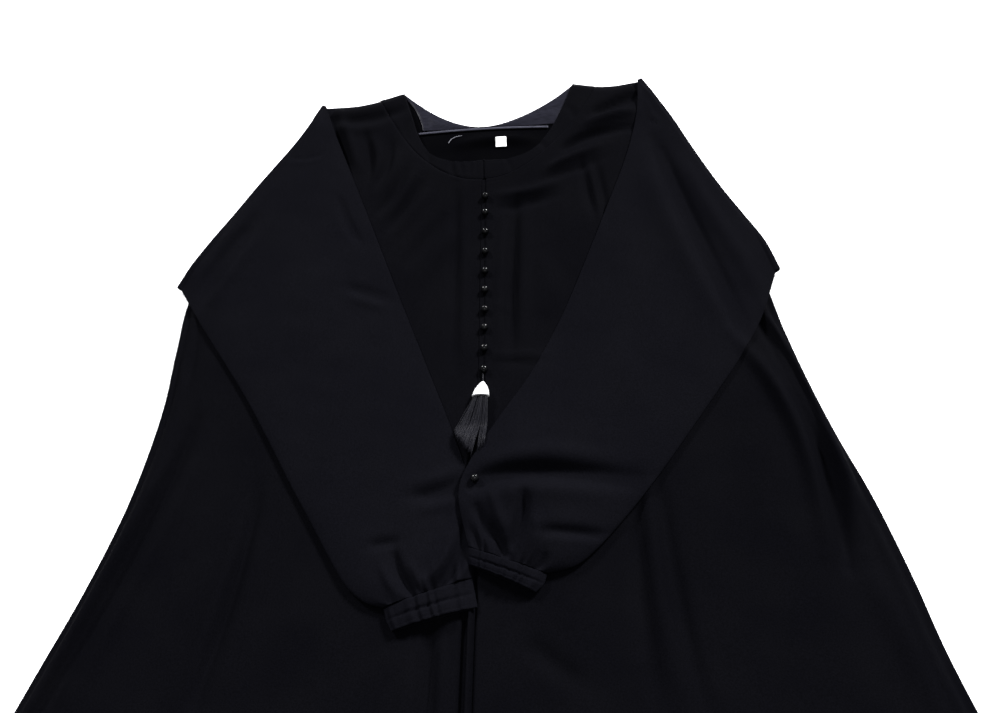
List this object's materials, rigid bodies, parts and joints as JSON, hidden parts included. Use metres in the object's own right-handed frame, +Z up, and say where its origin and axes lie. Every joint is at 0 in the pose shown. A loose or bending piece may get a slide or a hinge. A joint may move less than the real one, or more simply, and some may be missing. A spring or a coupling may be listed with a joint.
{
  "type": "abaya cloak",
  "caption": "Long loose abaya cloak laid flat face up, sleeves folded forward with gathered cuffs at the centre front, ball buttons, tassel and banded round neck.",
  "frame": {"origin": "bottom centre of the bounding box: on the surface under the middle of the back panel", "axes": "+Z up, +Y from the hem towards the shoulders, +X to the viewer's right with the garment lying face up"},
  "size_m": [1.223, 1.42, 0.0242],
  "materials": {
    "black_crepe": "matt black crepe with a faint cool sheen",
    "grey_satin": "grey satin",
    "white_label": "bare white woven tape",
    "gloss_black": "polished black",
    "silver_metal": "bright plated metal",
    "grey_silk": "shiny dark grey silk thread"
  },
  "bodies": {
    "root": {"back_panel": "black_crepe", "front_left": "black_crepe", "front_right": "black_crepe", "neck_band_left": "black_crepe", "neck_band_right": "black_crepe", "back_neck_facing": "grey_satin", "back_neck_tape": "grey_satin", "size_label": "white_label", "sleeve_left": "black_crepe", "sleeve_right": "black_crepe", "cuff_left": "black_crepe", "cuff_right": "black_crepe", "ball_button_01": "gloss_black", "ball_button_02": "gloss_black", "ball_button_03": "gloss_black", "ball_button_04": "gloss_black", "ball_button_05": "gloss_black", "ball_button_06": "gloss_black", "ball_button_07": "gloss_black", "ball_button_08": "gloss_black", "ball_button_09": "gloss_black", "ball_button_10": "gloss_black", "ball_button_11": "gloss_black", "tassel_cap": "silver_metal", "tassel_fringe": "grey_silk"}
  },
  "joints": []
}
